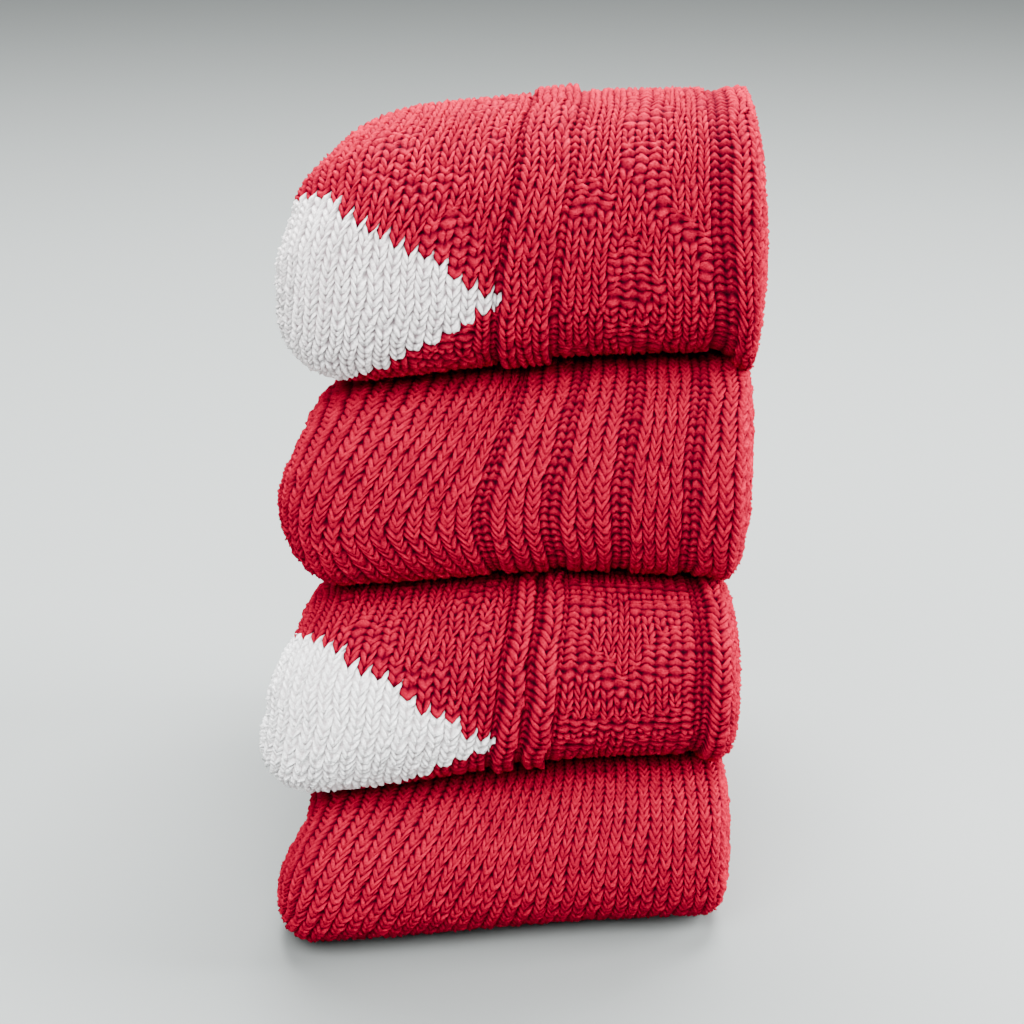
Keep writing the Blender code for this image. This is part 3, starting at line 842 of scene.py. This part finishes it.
def cuff_mouth(knitting):
    """The cuff's rolled rim and the start of its inside, down to the flattened slit.

    The rim's ring is scaled in towards its middle, bulging by half a sine on the way, and then goes
    straight in and shuts on the middle plane.
    """
    columns = np.arange(0.0, WALES, MOUTH_WALE_STEP)
    end = float(knitting.count)
    rim, _, _ = knitting.yarn_at(np.full(len(columns), end), columns)
    centre_x = (rim[:, 0].max() + rim[:, 0].min()) / 2.0
    half_x = (rim[:, 0].max() - rim[:, 0].min()) / 2.0
    centre_z = (rim[:, 2].max() + rim[:, 2].min()) / 2.0
    inner = rim.copy()
    inner[:, 0] = centre_x + (rim[:, 0] - centre_x) * (1.0 - CUFF_WALL / half_x)
    inner[:, 2] = centre_z + (rim[:, 2] - centre_z) * (CUFF_SLIT / (rim[:, 2].max() - rim[:, 2].min()))
    turn = np.linspace(0.0, 1.0, RIM_STEPS)[:, None, None]
    path = rim[None] * (1.0 - turn) + inner[None] * turn
    path[..., 1] += RIM_BULGE * np.sin(np.pi * turn[..., 0])
    deep = inner.copy()
    deep[:, 1] -= CUFF_SLIT_DEPTH
    shut = deep.copy()
    shut[:, 2] = centre_z
    grid = np.concatenate([path, deep[None], shut[None]])
    quads = quads_of(len(grid), len(columns)).reshape(-1, 4)
    # Painted shade: the rim keeps most of its colour and the inside of the mouth is painted dark
    light = np.full(grid.shape[:2], RIM_LIGHT)
    light[-3:] = INSIDE_LIGHT
    tone = np.full(grid.shape[:2], RIM_TONE)
    rows = end + np.arange(len(grid)) * RIM_COURSE
    corners = stitch_map(rows, columns).reshape(-1, 2)
    return knit_mesh(f"{knitting.name}_cuff_mouth", grid, quads, corners, light, tone)


def linear(code):
    """A hex colour in sRGB as linear red, green, blue and alpha."""
    values = [int(code[place:place + 2], 16) / 255.0 for place in (0, 2, 4)]
    return tuple(v / 12.92 if v <= 0.04045 else ((v + 0.055) / 1.055) ** 2.4 for v in values) + (1.0,)


def add_node(tree, kind, settings=(), inputs=(), links=()):
    """Add a node with its settings and input values, and link other nodes' outputs to its inputs."""
    node = tree.nodes.new(kind)
    for key, value in settings:
        setattr(node, key, value)
    for key, value in inputs:
        node.inputs[key].default_value = value
    for key, source in links:
        tree.links.new(source, node.inputs[key])
    return node


def knitted_wool(name, lit, pale, shadow, sheen):
    """Spun wool, knitted: matt fibres that scatter light at grazing angles, with painted shade between
    stitches, where the light attribute mixes in the shadow colour.

    The stitch map gives the yarn's own direction, so the fine streaks run along each leg.
    """
    material = bpy.data.materials.new(name)
    material.use_nodes = True
    tree = material.node_tree
    shader = tree.nodes["Principled BSDF"]
    light = add_node(tree, "ShaderNodeAttribute", (("attribute_name", "light"),))
    tone = add_node(tree, "ShaderNodeAttribute", (("attribute_name", "tone"),))
    stitches = add_node(tree, "ShaderNodeUVMap", (("uv_map", "stitches"),))
    place = add_node(tree, "ShaderNodeTexCoord")
    stretched = add_node(
        tree, "ShaderNodeMapping", (), (("Scale", STREAKS),), (("Vector", stitches.outputs["UV"]),)
    )
    streaks = add_node(
        tree, "ShaderNodeTexNoise", (), (("Scale", 1.0), ("Detail", 3.0), ("Roughness", 0.6)),
        (("Vector", stretched.outputs["Vector"]),),
    )
    fuzz = add_node(
        tree, "ShaderNodeTexNoise", (), (("Scale", FUZZ_SCALE), ("Detail", 2.0), ("Roughness", 0.7)),
        (("Vector", place.outputs["Object"]),),
    )
    # Painted shade: the light attribute, eased, sets how much of the shadow colour is mixed in between the
    # stitches
    depth = add_node(
        tree, "ShaderNodeMapRange", (("interpolation_type", "SMOOTHSTEP"),),
        (("From Min", 0.05), ("From Max", 0.84)), (("Value", light.outputs["Fac"]),),
    )
    body = add_node(
        tree, "ShaderNodeMix", (("data_type", "RGBA"),), (("A", lit), ("B", pale)),
        (("Factor", tone.outputs["Fac"]),),
    )
    colour = add_node(
        tree, "ShaderNodeMix", (("data_type", "RGBA"),), (("A", shadow),),
        (("Factor", depth.outputs["Result"]), ("B", body.outputs["Result"])),
    )
    both = add_node(
        tree, "ShaderNodeMath", (("operation", "MULTIPLY_ADD"),), ((1, 0.6),),
        ((0, streaks.outputs["Fac"]), (2, fuzz.outputs["Fac"])),
    )
    streaked = add_node(
        tree, "ShaderNodeMapRange", (),
        (("From Min", 0.5), ("From Max", 1.1), ("To Min", 0.52), ("To Max", 1.28)),
        (("Value", both.outputs["Value"]),),
    )
    mixed = add_node(
        tree, "ShaderNodeVectorMath", (("operation", "SCALE"),), (),
        ((0, colour.outputs["Result"]), ("Scale", streaked.outputs["Result"])),
    )
    tree.links.new(mixed.outputs["Vector"], shader.inputs["Base Color"])
    bump = add_node(
        tree, "ShaderNodeBump", (), (("Strength", 0.9), ("Distance", 0.0005)),
        (("Height", both.outputs["Value"]),),
    )
    tree.links.new(bump.outputs["Normal"], shader.inputs["Normal"])
    shader.inputs["Roughness"].default_value = 0.88
    shader.inputs["Specular IOR Level"].default_value = 0.02
    shader.inputs["Sheen Weight"].default_value = sheen
    shader.inputs["Sheen Roughness"].default_value = 0.45
    shader.inputs["Sheen Tint"].default_value = pale
    return material


def length_setting(name, description, default, least=0.0):
    """A length that a user can change, from its name, what it measures, and its default in metres."""
    return bpy.props.FloatProperty(
        name=name, description=description, default=default, min=least, unit="LENGTH", precision=5
    )


class YarnSizes(bpy.types.PropertyGroup):
    """Sizes of the yarn and its stitches."""

    course: length_setting("Course", "Height of one row of stitches", 0.0018, 0.0015)
    stitch_depth: length_setting("Stitch depth", "From a leg's crest to the groove", 0.0012)
    gutter_depth: length_setting("Gutter depth", "How far the purl gutters lie back", 0.0012)
    plait_height: length_setting("Plait height", "How far the plaits stand out", 0.0011)
    slope: bpy.props.FloatProperty(
        name="Slope", description="Courses by which a leg drops over half a wale", default=1.5
    )


def colour_setting(name, description, code):
    """A colour that a user can change, from its name, what it colours and its hex default."""
    return bpy.props.FloatVectorProperty(
        name=name, description=description, subtype="COLOR", size=4, default=linear(code)
    )


class YarnColours(bpy.types.PropertyGroup):
    """Colours of the three yarns, each lit, pale, and a shadow colour painted as shade between the
    stitches.
    """

    red: colour_setting("Red", "Red wool", "8C0024")
    red_pale: colour_setting("Pale red", "Red wool's lighter stitches", "A00029")
    # Painted shade: mixed in between the stitches and inside the cuff's mouth
    red_shadow: colour_setting("Red in the grooves", "Red wool between stitches", "1C0008")
    marl: colour_setting("Marl", "Grey marl wool", "F0EAEA")
    marl_pale: colour_setting("Pale marl", "Grey marl's lighter stitches", "F8F4F4")
    # Painted shade: mixed in between the stitches
    marl_shadow: colour_setting("Marl in the grooves", "Grey marl between stitches", "84767A")
    white: colour_setting("White", "White wool", "FCFBFB")
    white_pale: colour_setting("Pale white", "White wool's lighter stitches", "FFFFFF")
    # Painted shade: mixed in between the stitches
    white_shadow: colour_setting("White in the grooves", "White wool between stitches", "BDB4B6")


class StageSettings(bpy.types.PropertyGroup):
    """Floor and lights."""

    floor: colour_setting("Floor", "Colour of the floor", "666A69")
    front: bpy.props.FloatProperty(
        name="Front light", description="Soft light from the front", default=130.0, unit="POWER"
    )
    top: bpy.props.FloatProperty(
        name="Top light", description="Soft light from above", default=128.0, unit="POWER"
    )
    rim: bpy.props.FloatProperty(
        name="Rim light", description="Light from behind at the right", default=60.0, unit="POWER"
    )


# Each wool's colours in YarnColours, and its sheen
WOOL_LOOKS = {"red_wool": ("red", 0.02), "grey_marl": ("marl", 0.1), "white_wool": ("white", 0.1)}
WOOLS = {}


def wools():
    """The three wool materials, made once from the colours."""
    if not WOOLS:
        colours = bpy.context.scene.yarn_colours
        for name, (key, sheen) in WOOL_LOOKS.items():
            shades = [tuple(getattr(colours, key + end)) for end in ("", "_pale", "_shadow")]
            WOOLS[name] = knitted_wool(name, *shades, sheen)
    return WOOLS


ACCENTS = {"upper": "grey_marl", "lower": "white_wool"}
KNITTINGS = {}


def knitting_of(name):
    """The stitches of one sock, worked out once."""
    if name not in KNITTINGS:
        KNITTINGS[name] = Knitting(name, bpy.context.scene.yarn_sizes)
    return KNITTINGS[name]


def finish_piece(thing, sock, label):
    """Give a knitted piece its wool and its body, and hide the CAD part that it stands for."""
    slot = ACCENTS[sock] if label in ("toe", "heel") else "red_wool"
    node = label if label in ("toe", "heel", "cuff") else "sock"
    thing.data.materials.append(wools()[slot])
    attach(thing, "root")
    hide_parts(f"{sock}_{node}")


def stretch_courses(knitting):
    """Whole courses at which each stretch starts, and the last course."""
    starts = []
    for label, place, *_ in STRETCHES[knitting.name]:
        seam = {"toe": 0, "instep": knitting.toe_seam, "cuff": knitting.cuff_seam}.get(label)
        starts.append(knitting.tube.course_at(place) if seam is None else seam)
    return starts + [knitting.count]


def knit_labels(sock, labels):
    """Knit the named stretches of one sock."""
    knitting = knitting_of(sock)
    bounds = stretch_courses(knitting)
    for number, stretch in enumerate(STRETCHES[sock]):
        if stretch[0] not in labels:
            continue
        for thing in knit_stretch(knitting, stretch, bounds[number], bounds[number + 1]):
            label = "heel" if "_heel_knit" in thing.name else stretch[0]
            finish_piece(thing, sock, label)
            declare_sheet(knitting, label)


def declare_sheet(knitting, label):
    """For a heel, work out which of the sock's stitches are heel; nothing more is done with them."""
    if label == "heel":
        course, wale = np.arange(knitting.count)[:, None], np.arange(WALES)[None, :]
        stitches = heel_stitches(knitting.name, knitting.tube, course, wale)


class SOCKS_OT_feet(bpy.types.Operator):
    """Knit the toes and insteps"""

    bl_idname = "socks.feet"
    bl_label = "Knit the feet"

    def execute(self, context):
        for sock in SOCKS:
            knit_labels(sock, ("toe", "instep"))
        return {"FINISHED"}


class SOCKS_OT_heels(bpy.types.Operator):
    """Knit the folds at the heels, with the turned heels in their own wool"""

    bl_idname = "socks.heels"
    bl_label = "Knit the heels"

    def execute(self, context):
        for sock in SOCKS:
            knit_labels(sock, ("heel_fold",))
        return {"FINISHED"}


class SOCKS_OT_legs(bpy.types.Operator):
    """Knit the legs: ankle, turn at the back, calf, ribbed fold and end"""

    bl_idname = "socks.legs"
    bl_label = "Knit the legs"

    def execute(self, context):
        for sock in SOCKS:
            knit_labels(sock, ("ankle", "back_turn", "calf", "leg_fold", "leg_end"))
        return {"FINISHED"}


class SOCKS_OT_cuffs(bpy.types.Operator):
    """Knit the ribbed cuffs and their mouths"""

    bl_idname = "socks.cuffs"
    bl_label = "Knit the cuffs"

    def execute(self, context):
        for sock in SOCKS:
            knit_labels(sock, ("cuff",))
            finish_piece(cuff_mouth(knitting_of(sock)), sock, "cuff")
        return {"FINISHED"}


def area_light(name, place, size, power):
    """A soft white oblong light that looks at the middle of the stack."""
    lamp = bpy.data.lights.new(name, "AREA")
    lamp.shape = "RECTANGLE"
    lamp.size, lamp.size_y = size
    lamp.energy = power
    thing = bpy.data.objects.new(name, lamp)
    thing.location = place
    thing.rotation_euler = (Vector(LIGHT_TARGET) - Vector(place)).to_track_quat("-Z", "Y").to_euler()
    bpy.context.scene.collection.objects.link(thing)


class SOCKS_OT_stage(bpy.types.Operator):
    """Lay the floor, hang the lights and set the camera"""

    bl_idname = "socks.stage"
    bl_label = "Set the stage"

    def execute(self, context):
        settings = context.scene.stage_settings
        angle = np.linspace(0.0, 2.0 * math.pi, FLOOR_SIDES + 1)[:-1]
        height = np.full(FLOOR_SIDES, FLOOR_HEIGHT)
        rim = np.stack([FLOOR_RADIUS * np.cos(angle), FLOOR_RADIUS * np.sin(angle), height], axis=-1)
        mesh = bpy.data.meshes.new("floor")
        mesh.from_pydata(rim, [], [tuple(range(FLOOR_SIDES))])
        floor = bpy.data.objects.new("floor", mesh)
        context.scene.collection.objects.link(floor)
        paper = bpy.data.materials.new("matt_paper")
        paper.use_nodes = True
        shader = paper.node_tree.nodes["Principled BSDF"]
        shader.inputs["Base Color"].default_value = tuple(settings.floor)
        shader.inputs["Roughness"].default_value = 0.9
        mesh.materials.append(paper)
        for name, (place, size) in LIGHTS.items():
            area_light(f"{name}_softbox", place, size, getattr(settings, name))
        world = bpy.data.worlds.new("studio")
        context.scene.world = world
        world.use_nodes = True
        sky = world.node_tree.nodes["Background"]
        sky.inputs["Color"].default_value = linear("D5DADA")
        sky.inputs["Strength"].default_value = AMBIENT
        set_camera()
        return {"FINISHED"}


def set_camera():
    """The photograph's view: two degrees to the left of straight on and seventeen above level."""
    turn, rise = math.radians(CAMERA_TURN), math.radians(CAMERA_RISE)
    back = Vector((math.sin(turn) * math.cos(rise), -math.cos(turn) * math.cos(rise), math.sin(rise)))
    lens = bpy.data.cameras.new("camera")
    lens.sensor_width = SENSOR
    lens.lens = FOCAL_PIXELS / PHOTO_WIDTH * SENSOR
    lens.shift_x = (PHOTO_WIDTH / 2.0 - PHOTO_MIDDLE[0]) / PHOTO_WIDTH
    lens.shift_y = (PHOTO_MIDDLE[1] - PHOTO_WIDTH / 2.0) / PHOTO_WIDTH
    camera = bpy.data.objects.new("camera", lens)
    camera.location = Vector(CAMERA_TARGET) + back * CAMERA_DISTANCE
    camera.rotation_euler = (-back).to_track_quat("-Z", "Y").to_euler()
    bpy.context.scene.collection.objects.link(camera)
    bpy.context.scene.camera = camera


class SOCKS_PT_panel(bpy.types.Panel):
    """Sizes, colours and steps of the socks"""

    bl_idname = "SOCKS_PT_panel"
    bl_label = "Socks"
    bl_space_type = "VIEW_3D"
    bl_region_type = "UI"
    bl_category = "Socks"

    def draw(self, context):
        for group in (context.scene.yarn_sizes, context.scene.yarn_colours, context.scene.stage_settings):
            for key in group.__annotations__:
                self.layout.prop(group, key)
        for operator in OPERATORS:
            self.layout.operator(operator.bl_idname)


OPERATORS = (SOCKS_OT_feet, SOCKS_OT_heels, SOCKS_OT_legs, SOCKS_OT_cuffs, SOCKS_OT_stage)
GROUPS = {"yarn_sizes": YarnSizes, "yarn_colours": YarnColours, "stage_settings": StageSettings}


def register():
    """Register the settings, the steps and the panel."""
    for group in GROUPS.values():
        bpy.utils.register_class(group)
    for key, group in GROUPS.items():
        setattr(bpy.types.Scene, key, bpy.props.PointerProperty(type=group))
    for kind in OPERATORS + (SOCKS_PT_panel,):
        bpy.utils.register_class(kind)


def unregister():
    """Take the panel, the steps and the settings away again."""
    for kind in (SOCKS_PT_panel,) + OPERATORS[::-1]:
        bpy.utils.unregister_class(kind)
    for key, group in GROUPS.items():
        delattr(bpy.types.Scene, key)
        bpy.utils.unregister_class(group)


def main():
    """Knit both socks and set the stage."""
    register()
    bpy.ops.socks.stage()
    bpy.ops.socks.feet()
    bpy.ops.socks.heels()
    bpy.ops.socks.legs()
    bpy.ops.socks.cuffs()


if __name__ == "__main__":
    main()
